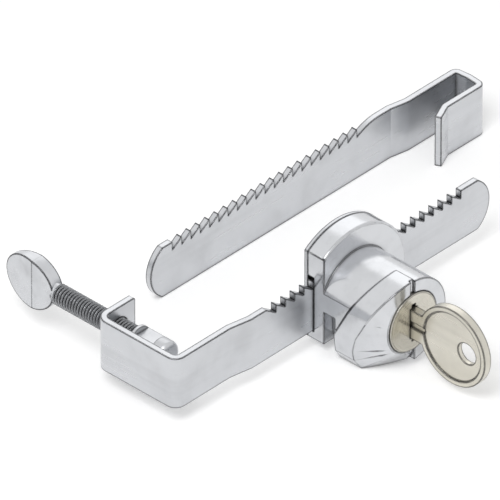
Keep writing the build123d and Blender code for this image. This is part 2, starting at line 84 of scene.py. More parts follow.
MM = 0.001
SCREW_LOW, SCREW_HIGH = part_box("thumbscrew")
PLUG_LOW, PLUG_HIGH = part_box("lock_plug")
# Point that the middle of the picture shows
VIEW_MIDDLE = Vector((46.53, 27.07, -7.4)) * MM
# Numbers in the names of the nodes that repeat
PAWL_SPRINGS = (1, 2)
WAFERS = range(1, 6)

# Packed corners on one step of this grid, in metres, become one vertex
MERGE_STEP = 2e-7
# Vertices of a surface worked out here that lie nearer than this, in metres, become one
DOUBLE_DISTANCE = 1e-8
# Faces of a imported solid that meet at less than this, in degrees, are one flat
FLAT_ANGLE = 0.4
# Edges where the faces meet at more than this, in degrees, are rounded off
CORNER_ANGLE = 28

# Colour of the painted shade lines along creases
CREASE_SHADE_COLOUR = (0.012, 0.012, 0.014, 1)
# Rays that a crease or a crevice is looked for with at each point
SHADER_RAYS = 8
# Parts of themselves that the painted shade in crevices and the painted shade lines at creases lay over the
# plate's colour
CREVICE_SHADE_COVER, CREASE_SHADE_COVER = 0.7, 0.94
# How far a crevice's walls may be apart for the painted shade to darken it, in metres
CREVICE_SHADE_REACH = 1.6 * MM
# Colour sockets of a Mix node, which share their names with its other sockets
FIRST_COLOUR, SECOND_COLOUR, MIXED_COLOUR = 6, 7, 2


class Flow:
    """A shader socket that can be used in sums, so that a formula adds its own Math nodes."""

    def __init__(self, tree, socket):
        self.tree = tree
        self.socket = socket

    def plug(self, target, value):
        """Link a flow, or set a plain value, on an input socket."""
        if isinstance(value, Flow):
            self.tree.links.new(value.socket, target)
        else:
            target.default_value = value

    def node(self, kind, settings=(), inputs=(), output=0):
        """Add a node of a type: settings come first, then the values or links of its sockets."""
        made = self.tree.nodes.new(kind)
        for name, value in dict(settings).items():
            setattr(made, name, value)
        for key, value in dict(inputs).items():
            self.plug(made.inputs[key], value)
        return Flow(self.tree, made.outputs[output])

    def ramp(self, low, high):
        """Map low..high onto 0..1 with smooth ends."""
        settings = {"interpolation_type": "SMOOTHSTEP"}
        inputs = {"Value": self, "From Min": low, "From Max": high}
        return self.node("ShaderNodeMapRange", settings, inputs)

    def maths(self, operation, other=None):
        """A Math node of this flow, and of another flow or number where the operation takes two."""
        inputs = {0: self} if other is None else {0: self, 1: other}
        return self.node("ShaderNodeMath", {"operation": operation}, inputs)

    def __add__(self, other):
        return self.maths("ADD", other)

    __radd__ = __add__

    def __mul__(self, other):
        return self.maths("MULTIPLY", other)

    __rmul__ = __mul__

    def __sub__(self, other):
        return self.maths("SUBTRACT", other)

    def __rsub__(self, other):
        return self.node("ShaderNodeMath", {"operation": "SUBTRACT"}, {0: other, 1: self})

    def __pow__(self, other):
        return self.maths("POWER", other)


def blank_material(name):
    """A material with an empty tree, its output node and a flow to start from."""
    material = bpy.data.materials.new(name)
    material.use_nodes = True
    tree = material.node_tree
    tree.nodes.clear()
    output = tree.nodes.new("ShaderNodeOutputMaterial")
    start = Flow(tree, None)
    return material, output, start


def noise(start, place, scale, detail, stretch=(1.0, 1.0, 1.0)):
    """Noise in object space, stretched along the axes by a Mapping node; scale is in cells per metre."""
    mapped = start.node("ShaderNodeMapping", (), {"Vector": place, "Scale": stretch})
    return start.node("ShaderNodeTexNoise", (), {"Vector": mapped, "Scale": scale, "Detail": detail})


def crease_shade_mask(start, width, faintest=0.0012, plainest=0.012):
    """Painted shade along creases: 1 within a width, from how far a normal averaged over it leans from the
    shaded one.

    A lean is one less the cosine between the two normals: the faintest shows nothing, the plainest a full
    line.
    """
    rounded = start.node("ShaderNodeBevel", {"samples": SHADER_RAYS}, {"Radius": width})
    shaded = start.node("ShaderNodeNewGeometry", output="Normal")
    settings = {"operation": "DOT_PRODUCT"}
    cosine = start.node("ShaderNodeVectorMath", settings, {0: rounded, 1: shaded}, output="Value")
    return (1 - cosine).ramp(faintest, plainest)


def turned_place(start, place, centre_x, centre_z):
    """Distance from a turning axis along Y, and object coordinates made of it and the place along Y."""
    x, y, z = (start.node("ShaderNodeSeparateXYZ", (), {0: place}, output=way) for way in range(3))
    radius = ((x - centre_x) ** 2 + (z - centre_z) ** 2) ** 0.5
    return radius, start.node("ShaderNodeCombineXYZ", (), {0: radius, 1: y, 2: radius})


def mixed(start, share, first, second):
    """Colour that goes from the first to the second with a share."""
    inputs = {"Factor": share, FIRST_COLOUR: first, SECOND_COLOUR: second}
    return start.node("ShaderNodeMix", {"data_type": "RGBA"}, inputs, output=MIXED_COLOUR)


def darker(colour, share):
    """The colour with each part taken down to a share."""
    return tuple(part * share for part in colour)


def plated_metal(
    name, colour, worn, roughness, depth, line, grain=(1.0, 1.0, 1.0), axis=None, leans=(), roots=None
):
    """Plated metal: brushed or turned grain, faint cloudy tarnish, and painted shade in crevices and along
    creases.

    colour is the clean plate, worn the share of it that tarnish leaves, grain the stretch of the brushing,
    depth its height and line the width of the painted shade lines at creases, in metres. An axis turns the
    grain into rings round it. roots gives the radii round it of the plain pin and of the thread's flanks,
    between which painted shade darkens the grooves. leans sets how faint a crease still draws a painted shade
    line.
    """
    material, output, start = blank_material(name)
    place = start.node("ShaderNodeTexCoord", output="Object")
    radius, grained = turned_place(start, place, *axis) if axis else (None, place)
    clouds = noise(start, place, scale=110.0, detail=5.0)
    fine = noise(start, grained, scale=1500.0, detail=3.0, stretch=grain)
    coarse = noise(start, grained, scale=420.0, detail=2.0, stretch=grain)
    specks = noise(start, place, scale=3000.0, detail=2.0)
    # Painted shade: dark lines along the creases, where the averaged normal leans from the shaded one
    edges = crease_shade_mask(start, line, *leans)
    # Painted shade in crevices: the colour darkens where ambient occlusion finds walls near
    rays, reach = {"samples": SHADER_RAYS}, {"Distance": CREVICE_SHADE_REACH}
    open_air = start.node("ShaderNodeAmbientOcclusion", rays, reach, output="AO")
    crevice = (1 - open_air).ramp(0.08, 0.75)
    # Painted shade: the thread's grooves darken between the pin's radius and the flanks' radius
    if roots:
        pin, flank = roots
        under_flank = 1 - radius.ramp(flank - 0.25 * MM, flank)
        past_pin = radius.ramp(pin, pin + 0.1 * MM)
        crevice = crevice + under_flank * past_pin
    tarnish = clouds.ramp(0.42, 0.75) * 0.4 + coarse.ramp(0.45, 0.8) * 0.3 + specks.ramp(0.64, 0.82) * 0.2
    worn_colour = darker(colour, worn)
    crevice_shade_colour = darker(colour, 0.16)
    tinted = mixed(start, tarnish, (*colour, 1), (*worn_colour, 1))
    # Painted crevice shade, then painted shade lines at creases, laid over the tarnished plate
    shaded = mixed(start, crevice * CREVICE_SHADE_COVER, tinted, (*crevice_shade_colour, 1))
    lined = mixed(start, edges * CREASE_SHADE_COVER, shaded, CREASE_SHADE_COLOUR)
    uneven = roughness + (fine - 0.5) * 0.14 + (clouds - 0.5) * 0.10 + edges * 0.12 + crevice * 0.1
    grooves = fine * 0.7 + coarse * 0.3
    bumped = start.node("ShaderNodeBump", (), {"Height": grooves, "Distance": depth, "Strength": 1.0})
    shader = start.tree.nodes.new("ShaderNodeBsdfPrincipled")
    shader.inputs["Metallic"].default_value = 1.0
    start.plug(shader.inputs["Base Color"], lined)
    start.plug(shader.inputs["Roughness"], uneven)
    start.plug(shader.inputs["Normal"], bumped)
    start.tree.links.new(shader.outputs[0], output.inputs[0])
    return material


FINISHES = {}


def finish(name):
    """The material of a named finish, made once.

    A row of the table holds the plate's colour, the share of it that wear leaves, the roughness, the depth of
    the grain, the width of the painted shade lines at creases, and what else the finish has.
    """
    if name in FINISHES:
        return FINISHES[name]
    colours = bpy.context.scene.lock_finish
    plate = tuple(colours.plate_colour)
    chrome = tuple(colours.chrome_colour)
    warm = tuple(colours.key_colour)
    brass = tuple(colours.brass_colour)
    line = colours.line_width
    screw = bpy.context.scene.lock_screw
    core = screw.major_radius - screw.depth
    along_strip = {"grain": (0.03, 0.03, 1.0)}
    along_key = {"grain": (1.0, 0.03, 1.0)}
    round_lock = {"axis": ((PLUG_LOW.x + PLUG_HIGH.x) / 2, (PLUG_LOW.z + PLUG_HIGH.z) / 2)}
    round_screw = {"axis": (0.0, 0.0)}
    thread = {"axis": (0.0, 0.0), "roots": (screw.pin_radius, core + 0.3 * MM)}
    flat_fold = {"leans": (0.0002, 0.0012)}
    table = {
        "bar_nickel": (plate, 0.72, 0.30, 6e-6, line, along_strip),
        "cast_chrome": (chrome, 0.80, 0.20, 2e-6, line, {}),
        "turned_zinc": (plate, 0.66, 0.31, 4e-6, line * 0.6, round_screw),
        "thread_zinc": (plate, 0.66, 0.31, 4e-6, line * 0.6, thread),
        "paddle_zinc": (plate, 0.72, 0.30, 4e-6, line * 0.9, flat_fold),
        "cover_steel": (plate, 0.74, 0.34, 7e-6, line, along_strip),
        "plug_nickel": (warm, 0.74, 0.27, 4e-6, line * 0.8, round_lock),
        "key_nickel": (warm, 0.72, 0.29, 5e-6, line, along_key),
        "wafer_brass": (brass, 0.66, 0.32, 5e-6, line * 0.5, along_strip),
        "spring_wire": (darker(plate, 0.85), 0.7, 0.30, 3e-6, line * 0.2, {}),
    }
    *plain, more = table[name]
    FINISHES[name] = plated_metal(name, *plain, **more)
    return FINISHES[name]


def linked(name, mesh):
    """A smooth object of a mesh at the origin, linked to the scene."""
    mesh.polygons.foreach_set("use_smooth", np.full(len(mesh.polygons), True))
    piece = bpy.data.objects.new(name, mesh)
    bpy.context.scene.collection.objects.link(piece)
    return piece


def new_piece(name, points, faces, material):
    """A smooth object with a finish, from points in metres and faces as index rows."""
    mesh = bpy.data.meshes.new(name)
    mesh.from_pydata(points.tolist(), [], faces)
    mesh.update()
    mesh.materials.append(finish(material))
    return linked(name, mesh)


def ring_faces(rows, columns):
    """Quads of a grid of rows that each close on themselves."""
    row, column = np.meshgrid(np.arange(rows - 1), np.arange(columns), indexing="ij")
    after = (column + 1) % columns
    near, far = row * columns, (row + 1) * columns
    quads = np.stack([near + column, near + after, far + after, far + column], axis=-1)
    return quads.reshape(-1, 4).tolist()


def capped_tube(name, grid, material):
    """A piece from a grid of rings, rows by columns by 3, closed at both ends with a fan about its middle."""
    rows, columns, _ = grid.shape
    points = np.concatenate([grid.reshape(-1, 3), grid[0].mean(0)[None], grid[-1].mean(0)[None]])
    column = np.arange(columns)
    after = (column + 1) % columns
    last = (rows - 1) * columns
    first_middle, last_middle = rows * columns, rows * columns + 1
    first_fan = np.stack([after, column, np.full(columns, first_middle)], axis=-1)
    last_fan = np.stack([last + column, last + after, np.full(columns, last_middle)], axis=-1)
    faces = ring_faces(rows, columns) + first_fan.tolist() + last_fan.tolist()
    piece = new_piece(name, points, faces, material)
    outward(piece)
    return piece


def outward(piece):
    """Recalculate a closed piece's faces so that they point outwards."""
    work = bmesh.new()
    work.from_mesh(piece.data)
    bmesh.ops.remove_doubles(work, verts=work.verts, dist=DOUBLE_DISTANCE)
    bmesh.ops.recalc_face_normals(work, faces=work.faces)
    work.to_mesh(piece.data)
    work.free()
    piece.data.update()


def seat_piece(piece, body, node):
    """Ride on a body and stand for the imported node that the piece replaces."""
    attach(piece, body)
    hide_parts(node)


def read(items, name, width, kind=float):
    """One property of all items of a mesh as an array, with a row of a width to each item."""
    values = np.zeros(len(items) * width, kind)
    items.foreach_get(name, values)
    return values.reshape(-1, width)


def mark_edges(mesh, name, kind, values):
    """Put one value for each edge of a mesh into a new attribute."""
    mesh.attributes.new(name, kind, "EDGE").data.foreach_set("value", values)


def welded(source):
    """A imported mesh's points, those at one place joined, and its triangles with corner and flat normals.

    A triangle that the joining leaves with two corners on one point is dropped.
    """
    places = read(source.vertices, "co", 3)
    corners = read(source.loops, "vertex_index", 1, np.int32)[:, 0]
    shading = read(source.corner_normals, "vector", 3).reshape(-1, 3, 3)
    flats = read(source.polygon_normals, "vector", 3)
    steps = np.round(places / MERGE_STEP).astype(np.int64)
    _, first, owner = np.unique(steps, axis=0, return_index=True, return_inverse=True)
    faces = owner.reshape(-1)[corners].reshape(-1, 3)
    whole = (faces[:, 0] != faces[:, 1]) & (faces[:, 1] != faces[:, 2]) & (faces[:, 2] != faces[:, 0])
    return places[first], faces[whole], shading[whole], flats[whole]


def edge_keys(ends, count):
    """One whole number for each edge: its lower point times the count of points, plus its higher point."""
    return ends.min(axis=1) * count + ends.max(axis=1)


def shared_edges(faces, shading, flats, count):
    """Sorted keys of the edges that two triangles share, and how well the triangles' normals agree there.

    Agreement is the cosine between the two normals: of the corner normals at the end where it is lower, and
    of the flat normals.
    """
    ends = np.concatenate([faces[:, [0, 1]], faces[:, [1, 2]], faces[:, [2, 0]]])
    normals = np.concatenate([shading[:, [0, 1]], shading[:, [1, 2]], shading[:, [2, 0]]])
    level = np.tile(flats, (3, 1))
    turned = ends[:, 0] > ends[:, 1]
    normals[turned] = normals[turned][:, ::-1]
    keys = edge_keys(ends, count)
    order = np.argsort(keys, kind="stable")
    keys, normals, level = keys[order], normals[order], level[order]
    pairs = np.flatnonzero(keys[:-1] == keys[1:])
    corners_agree = (normals[pairs] * normals[pairs + 1]).sum(-1).min(-1)
    flats_agree = (level[pairs] * level[pairs + 1]).sum(-1)
    return keys[pairs], corners_agree, flats_agree


def merged_copy(node, crease_angle):
    """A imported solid's triangles joined into one mesh, with its creases marked.

    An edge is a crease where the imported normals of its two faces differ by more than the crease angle, in
    degrees, at either end, and it is rounded where the faces meet at over the corner angle.
    """
    points, faces, shading, flats = welded(frame["nodes"][node].data)
    keys, corners_agree, flats_agree = shared_edges(faces, shading, flats, len(points))
    crease = corners_agree < math.cos(math.radians(crease_angle))
    corner = crease & (flats_agree < math.cos(math.radians(CORNER_ANGLE)))
    mesh = bpy.data.meshes.new(node + "_finished")
    mesh.from_pydata(points.tolist(), [], faces.tolist())
    sought = edge_keys(read(mesh.edges, "vertices", 2, np.int64), len(points))
    spot = np.searchsorted(keys, sought).clip(0, len(keys) - 1)
    hit = keys[spot] == sought
    mark_edges(mesh, "sharp_edge", "BOOLEAN", crease[spot] | ~hit)
    mark_edges(mesh, "bevel_weight_edge", "FLOAT", (corner[spot] & hit).astype(float))
    return mesh


def softened(node, finish_name, body, width, crease_angle=4):
    """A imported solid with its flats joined, its curved faces smooth and its corners rounded off."""
    mesh = merged_copy(node, crease_angle)
    work = bmesh.new()
    work.from_mesh(mesh)
    bmesh.ops.dissolve_limit(
        work, angle_limit=math.radians(FLAT_ANGLE), verts=work.verts, edges=work.edges, delimit={"SHARP"}
    )
    work.to_mesh(mesh)
    work.free()
    mesh.materials.append(finish(finish_name))
    piece = linked(node + "_finished", mesh)
    bevel = piece.modifiers.new("rounded edges", "BEVEL")
    bevel.width = width
    bevel.segments = 2
    bevel.limit_method = "WEIGHT"
    bevel.use_clamp_overlap = False
    bevel.harden_normals = True
    seat_piece(piece, body, node)


class FinishSettings(bpy.types.PropertyGroup):
    """Colours of the finishes, and the widths of their painted shade lines at creases and of their roundings.
    """

    plate_colour: bpy.props.FloatVectorProperty(
        name="Plate", description="Colour of the nickel and zinc plate", subtype="COLOR",
        size=3, min=0.0, max=1.0, default=(0.60, 0.61, 0.63),
    )
    chrome_colour: bpy.props.FloatVectorProperty(
        name="Chrome", description="Colour of the chrome plate on the lock body", subtype="COLOR",
        size=3, min=0.0, max=1.0, default=(0.64, 0.65, 0.67),
    )
    key_colour: bpy.props.FloatVectorProperty(
        name="Key", description="Colour of the nickel silver key and plug", subtype="COLOR",
        size=3, min=0.0, max=1.0, default=(0.64, 0.615, 0.545),
    )
    brass_colour: bpy.props.FloatVectorProperty(
        name="Wafers", description="Colour of the stamped brass wafers", subtype="COLOR",
        size=3, min=0.0, max=1.0, default=(0.66, 0.47, 0.20),
    )
    # Width of the painted shade lines along creases
    line_width: bpy.props.FloatProperty(
        name="Edge lines", description="Width over which a crease darkens",
        subtype="DISTANCE", unit="LENGTH", min=0.0, max=0.001, default=0.0005, precision=6,
    )
    edge_round: bpy.props.FloatProperty(
        name="Edge rounding", description="Width of the rounding on stamped and cast edges",
        subtype="DISTANCE", unit="LENGTH", min=0.0, max=0.0005, default=0.00010, precision=6,
    )


class ScrewSettings(bpy.types.PropertyGroup):
    """Sizes of the thumbscrew."""

    pitch: bpy.props.FloatProperty(
        name="Thread pitch", description="Distance along the screw that one turn moves it",
        subtype="DISTANCE", unit="LENGTH", default=25.4 / 32 * MM, precision=6,
    )
    major_radius: bpy.props.FloatProperty(
        name="Thread radius", description="Radius over the thread's crests",
        subtype="DISTANCE", unit="LENGTH", default=2.4 * MM, precision=6,
    )
    depth: bpy.props.FloatProperty(
        name="Thread depth", description="Height of the crests over the core",
        subtype="DISTANCE", unit="LENGTH", default=0.5 * MM, precision=6,
    )
    pin_radius: bpy.props.FloatProperty(
        name="Pin radius", description="Radius of the plain end that runs in the pad",
        subtype="DISTANCE", unit="LENGTH", default=1.5 * MM, precision=6,
    )
    pin_length: bpy.props.FloatProperty(
        name="Pin length", description="Length of the plain end that runs in the pad",
        subtype="DISTANCE", unit="LENGTH", default=5.0 * MM, precision=6,
    )
    chamfer_length: bpy.props.FloatProperty(
        name="Chamfer length", description="Length of the chamfer on the plain end",
        subtype="DISTANCE", unit="LENGTH", default=0.4 * MM, precision=6,
    )
    chamfer_depth: bpy.props.FloatProperty(
        name="Chamfer depth", description="Depth of the chamfer on the plain end",
        subtype="DISTANCE", unit="LENGTH", default=0.3 * MM, precision=6,
    )
    thread_length: bpy.props.FloatProperty(
        name="Thread length", description="Length of the threaded shank",
        subtype="DISTANCE", unit="LENGTH", default=23.6 * MM, precision=6,
    )
    paddle_length: bpy.props.FloatProperty(
        name="Paddle length", description="Length of the paddle along the screw",
        subtype="DISTANCE", unit="LENGTH", default=14.7 * MM, precision=6,
    )
    crease_place: bpy.props.FloatProperty(
        name="Crease", description="Distance of the paddle's upright crease from its end by the thread",
        subtype="DISTANCE", unit="LENGTH", default=6.1 * MM, precision=6,
    )
    root_thickness: bpy.props.FloatProperty(
        name="Root thickness", description="Thickness of the paddle by the thread",
        subtype="DISTANCE", unit="LENGTH", default=3.2 * MM, precision=6,
    )
    crease_thickness: bpy.props.FloatProperty(
        name="Crease thickness", description="Thickness of the paddle at its crease",
        subtype="DISTANCE", unit="LENGTH", default=3.3 * MM, precision=6,
    )
    tip_thickness: bpy.props.FloatProperty(
        name="Tip thickness", description="Thickness of the paddle at its far end",
        subtype="DISTANCE", unit="LENGTH", default=0.8 * MM, precision=6,
    )
    rim_round: bpy.props.FloatProperty(
        name="Rim rounding", description="Rounding of the paddle's rim",
        subtype="DISTANCE", unit="LENGTH", default=0.12 * MM, precision=6,
    )
    neck_overlap: bpy.props.FloatProperty(
        name="Neck overlap", description="How far the neck starts before the paddle, on the thread",
        subtype="DISTANCE", unit="LENGTH", default=0.5 * MM, precision=6,
    )
    neck_reach: bpy.props.FloatProperty(
        name="Neck reach", description="How far the neck runs into the paddle",
        subtype="DISTANCE", unit="LENGTH", default=3.2 * MM, precision=6,
    )


class SpringSettings(bpy.types.PropertyGroup):
    """Sizes of the coil springs."""

    pawl_wire: bpy.props.FloatProperty(
        name="Pawl spring wire", description="Wire diameter of the two springs over the pawl",
        subtype="DISTANCE", unit="LENGTH", default=0.4 * MM, precision=6,
    )
    pawl_turns: bpy.props.FloatProperty(
        name="Pawl spring turns", description="Turns of each spring over the pawl", default=4.5,
    )
    wafer_wire: bpy.props.FloatProperty(
        name="Wafer spring wire", description="Wire diameter of the springs beside the wafers",
        subtype="DISTANCE", unit="LENGTH", default=0.14 * MM, precision=6,
    )
    wafer_turns: bpy.props.FloatProperty(
        name="Wafer spring turns", description="Turns of each spring beside a wafer", default=9.0,
    )


class LOCK_OT_thumbscrew(bpy.types.Operator):
    """Screw with a true helical thread, a plain pin end and a creased oval paddle"""

    bl_idname = "lock.thumbscrew"
    bl_label = "Thumbscrew"

    def execute(self, context):
        sizes = context.scene.lock_screw
        self.shank(sizes)
        self.paddle(sizes)
        self.neck(sizes)
        return {"FINISHED"}

    def shank(self, sizes):
        """Radius over angle and length: the core plus a ridge whose phase climbs one pitch a turn.

        The ridge is a trapezoid of the phase, from 0 at the core to 1 at the crest. It fades in and out over
        about a pitch at the thread's ends. Below the thread the radius steps down to the pin, whose end is
        chamfered.
        """
        columns = 56
        rows_a_pitch = 14
        flank_slope, crest_level = 3.1, 1.25
        pitch = sizes.pitch
        low = SCREW_LOW.y
        thread_low = low + sizes.pin_length
        thread_high = thread_low + sizes.thread_length
        along = np.linspace(low, thread_high, int((thread_high - low) / pitch * rows_a_pitch))
        angle = np.linspace(0, 2 * np.pi, columns, endpoint=False)
        y, turn = np.meshgrid(along, angle, indexing="ij")
        phase = ((y - thread_low) / pitch - turn / (2 * np.pi)) % 1.0
        ridge = np.clip(crest_level - np.abs(phase - 0.5) * flank_slope, 0, 1)
        run_in = np.clip((y - thread_low) / (1.2 * pitch), 0, 1)
        run_out = np.clip((thread_high - 0.2 * pitch - y) / pitch, 0, 1)
        core = sizes.major_radius - sizes.depth
        radius = core + sizes.depth * ridge * run_in * run_out
        step = np.clip((y - thread_low) / (0.25 * pitch), 0, 1)
        radius = sizes.pin_radius + (radius - sizes.pin_radius) * step
        chamfer = np.clip(1 - (y - low) / sizes.chamfer_length, 0, 1) * sizes.chamfer_depth
        radius = radius - chamfer
        grid = np.stack([radius * np.sin(turn), y, radius * np.cos(turn)], axis=-1)
        piece = capped_tube("thumbscrew_shank", grid, "thread_zinc")
        seat_piece(piece, "screw", "thumbscrew")

    def paddle(self, sizes):
        """Oval across the screw's axis, as rays from the middle of its upright crease.

        A ray's length is found on a unit circle. It is the root of one less the squared product of the
        crease's place and the ray's sine, less the product of that place and the ray's cosine. The half
        thickness goes evenly from the crease's to the tip's and to the root's. A quarter circle rounds the
        rim on either side.
        """
        columns = 144
        rings, rim_rings = 25, 4
        half_length = sizes.paddle_length / 2
        half_height = (SCREW_HIGH.z - SCREW_LOW.z) / 2
        root_y = SCREW_HIGH.y - sizes.paddle_length
        inner = np.linspace(0, 1, rings + 1)[1:]
        quarter = np.linspace(0, np.pi / 2, rim_rings + 1)[1:]
        share = np.concatenate([inner, np.ones(len(quarter))])[:, None]
        inset = sizes.rim_round * np.concatenate([np.ones(len(inner)), 1 - np.sin(quarter)])[:, None]
        drop = sizes.rim_round * np.concatenate([np.zeros(len(inner)), 1 - np.cos(quarter)])[:, None]
        phi = np.linspace(0, 2 * np.pi, columns, endpoint=False)
        aside = (sizes.crease_place - half_length) / (half_length - sizes.rim_round)
        ray = np.sqrt(1 - (aside * np.sin(phi)) ** 2) - aside * np.cos(phi)
        y = (half_length - inset) * (aside + share * ray * np.cos(phi)) + half_length
        z = (half_height - inset) * share * ray * np.sin(phi)
        places = [0, sizes.crease_place, sizes.paddle_length]
        thickness = [sizes.root_thickness, sizes.crease_thickness, sizes.tip_thickness]
        x = np.interp(y, places, thickness) / 2 - drop
        front = np.stack([x, y + root_y, z], axis=-1)
        back = np.stack([-x, y + root_y, z], axis=-1)[::-1]
        grid = np.concatenate([front, back])
        piece = capped_tube("thumbscrew_paddle", grid, "paddle_zinc")
        self.crease(piece.data, columns)
        seat_piece(piece, "screw", "thumbscrew")

    def crease(self, mesh, columns):
        """Mark as sharp the edges on the rays straight up and down, as far as the middles of both fans."""
        count = len(mesh.vertices)
        number = np.arange(count)
        on_crease = np.isin(number % columns, (columns // 4, 3 * columns // 4)) | (number >= count - 2)
        sharp = on_crease[read(mesh.edges, "vertices", 2, np.int32)].all(axis=1)
        mark_edges(mesh, "sharp_edge", "BOOLEAN", sharp)

    def neck(self, sizes):
        """Shoulder from the thread into the paddle: an ellipse that widens along Z and thins along X.

        The half width grows by 0.55 of itself with the 1.6th power of the way, and the half thickness falls
        along a parabola to just inside the paddle's root.
        """
        rows, columns = 30, 56
        root_y = SCREW_HIGH.y - sizes.paddle_length
        start = root_y - sizes.neck_overlap
        end = root_y + sizes.neck_reach
        share = np.linspace(0, 1, rows)
        angle = np.linspace(0, 2 * np.pi, columns, endpoint=False)
        s, turn = np.meshgrid(share, angle, indexing="ij")
        core = sizes.major_radius - sizes.depth * 0.4
        wide = core * (1 + 0.55 * s**1.6)
        inside_root = 0.96 * sizes.root_thickness / 2
        thick = core + (inside_root - core) * (1 - (1 - s) ** 2)
        y = start + (end - start) * s
        grid = np.stack([thick * np.sin(turn), y, wide * np.cos(turn)], axis=-1)
        piece = capped_tube("thumbscrew_neck", grid, "turned_zinc")
        seat_piece(piece, "screw", "thumbscrew")


def coil_piece(name, low, high, wire, turns, material):
    """Wire wound on a helix inside a box, along Z: rings of the wire's section carried along the helix."""
    rings_a_turn, ring_points = 28, 10
    centre_x, centre_y = (low.x + high.x) / 2, (low.y + high.y) / 2
    radius = (high.x - low.x) / 2 - wire / 2
    rings = int(turns * rings_a_turn)
    share = np.linspace(0, 1, rings)
    turn = share * turns * 2 * np.pi
    rise = (high.z - low.z) - wire
    z = low.z + wire / 2 + rise * share
    line = np.stack([centre_x + radius * np.cos(turn), centre_y + radius * np.sin(turn), z], axis=-1)
    outward_way = np.stack([np.cos(turn), np.sin(turn), np.zeros(rings)], axis=-1)
    along = np.gradient(line, axis=0)
    along /= np.linalg.norm(along, axis=1)[:, None]
    across = np.cross(along, outward_way)
    around = np.linspace(0, 2 * np.pi, ring_points, endpoint=False)
    out_share, across_share = np.cos(around)[None, :, None], np.sin(around)[None, :, None]
    section = out_share * outward_way[:, None, :] + across_share * across[:, None, :]
    grid = line[:, None, :] + wire / 2 * section
    return capped_tube(name, grid, material)


class LOCK_OT_springs(bpy.types.Operator):
    """Coil springs over the pawl and beside the wafers, wound on helices"""

    bl_idname = "lock.springs"
    bl_label = "Coil springs"

    def execute(self, context):
        sizes = context.scene.lock_spring
        lift = next(joint for joint in frame["joints"] if joint["name"] == "pawl_lift")["range_m"][1]
        for number in PAWL_SPRINGS:
            node = "pawl_spring_%d" % number
            low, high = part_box(node)
            piece = coil_piece(node + "_coil", low, high, sizes.pawl_wire, sizes.pawl_turns, "spring_wire")
            seat_piece(piece, "lock_body", node)
            kept = 1 - lift / (high.z - low.z)
            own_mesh(piece)
        for number in WAFERS:
            node = "wafer_spring_%d" % number
            low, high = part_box(node)
            piece = coil_piece(node + "_coil", low, high, sizes.wafer_wire, sizes.wafer_turns, "spring_wire")
            seat_piece(piece, "plug", node)
        return {"FINISHED"}


class LOCK_OT_bars(bpy.types.Operator):
    """Ratchet bars with the edges of their strip rounded off"""

    bl_idname = "lock.bars"
    bl_label = "Ratchet bars"

    def execute(self, context):
        width = context.scene.lock_finish.edge_round
        softened("clamp_bar", "bar_nickel", "clamp", width)
        softened("hook_bar", "bar_nickel", "spare_bar", width)
        return {"FINISHED"}


class LOCK_OT_body(bpy.types.Operator):
    """Lock body, cover and screws, with cast and stamped edges rounded off"""

    bl_idname = "lock.body"
    bl_label = "Lock body"

    def execute(self, context):
        width = context.scene.lock_finish.edge_round
        softened("lock_housing", "cast_chrome", "lock_body", width * 1.6, crease_angle=10)
        softened("back_plate", "cover_steel", "lock_body", width)
        softened("cover_screws", "turned_zinc", "lock_body", width * 0.5)
        softened("pawl", "cover_steel", "pawl", width)
        softened("clamp_pad", "turned_zinc", "pad", width)
        return {"FINISHED"}


class LOCK_OT_key_and_plug(bpy.types.Operator):
    """Key, plug, wafers and clip, with their edges rounded off"""

    bl_idname = "lock.key_and_plug"
    bl_label = "Key and plug"

    def execute(self, context):
        width = context.scene.lock_finish.edge_round
        softened("key", "key_nickel", "key", width * 1.2)
        softened("lock_plug", "plug_nickel", "plug", width)
        softened("plug_clip", "spring_wire", "plug", width * 0.5)
        for number in WAFERS:
            softened("wafer_%d" % number, "wafer_brass", "plug", width * 0.4)
        return {"FINISHED"}


class StageSettings(bpy.types.PropertyGroup):
    """View, floor and lamps."""

    azimuth: bpy.props.FloatProperty(
        name="Azimuth", description="Turn of the view round the lock, from straight ahead",
        subtype="ANGLE", unit="ROTATION", default=math.radians(-46.4),
    )
    elevation: bpy.props.FloatProperty(
        name="Elevation", description="Height of the view over the horizon",
        subtype="ANGLE", unit="ROTATION", default=math.radians(35.65),
    )
    lens: bpy.props.FloatProperty(
        name="Lens", description="Focal length in millimetres, long enough to keep parallel edges so",
        default=1600.0,
    )
    view_width: bpy.props.FloatProperty(
        name="View width", description="Width of the view at the lock",
        subtype="DISTANCE", unit="LENGTH", default=105.3 * MM, precision=6,
    )
    floor_colour: bpy.props.FloatVectorProperty(
        name="Floor", description="Colour of the floor", subtype="COLOR",
        size=3, min=0.0, max=1.0, default=(0.94, 0.94, 0.94),
    )
    floor_lift: bpy.props.FloatProperty(
        name="Floor lift", description="How much whiter than its lit paper the floor looks", default=0.22,
    )
    sky_fill: bpy.props.FloatProperty(
        name="Sky fill", description="Share of the sky's brightness that lights the lock", default=0.55,
    )
    key_power: bpy.props.FloatProperty(
        name="Key lamp", description="Power of the lamp in front on the left", subtype="POWER", default=3.0,
    )
    top_power: bpy.props.FloatProperty(
        name="Top lamp", description="Power of the lamp behind the lock", subtype="POWER", default=0.55,
    )


def shown_ray(start):
    """1 for a ray that shows a surface to the lens, straight, in a reflection or through glass."""
    kinds = ("Is Camera Ray", "Is Glossy Ray", "Is Transmission Ray")
    seen, glossy, through = (start.node("ShaderNodeLightPath", output=kind) for kind in kinds)
    return seen.maths("MAXIMUM", glossy).maths("MAXIMUM", through)


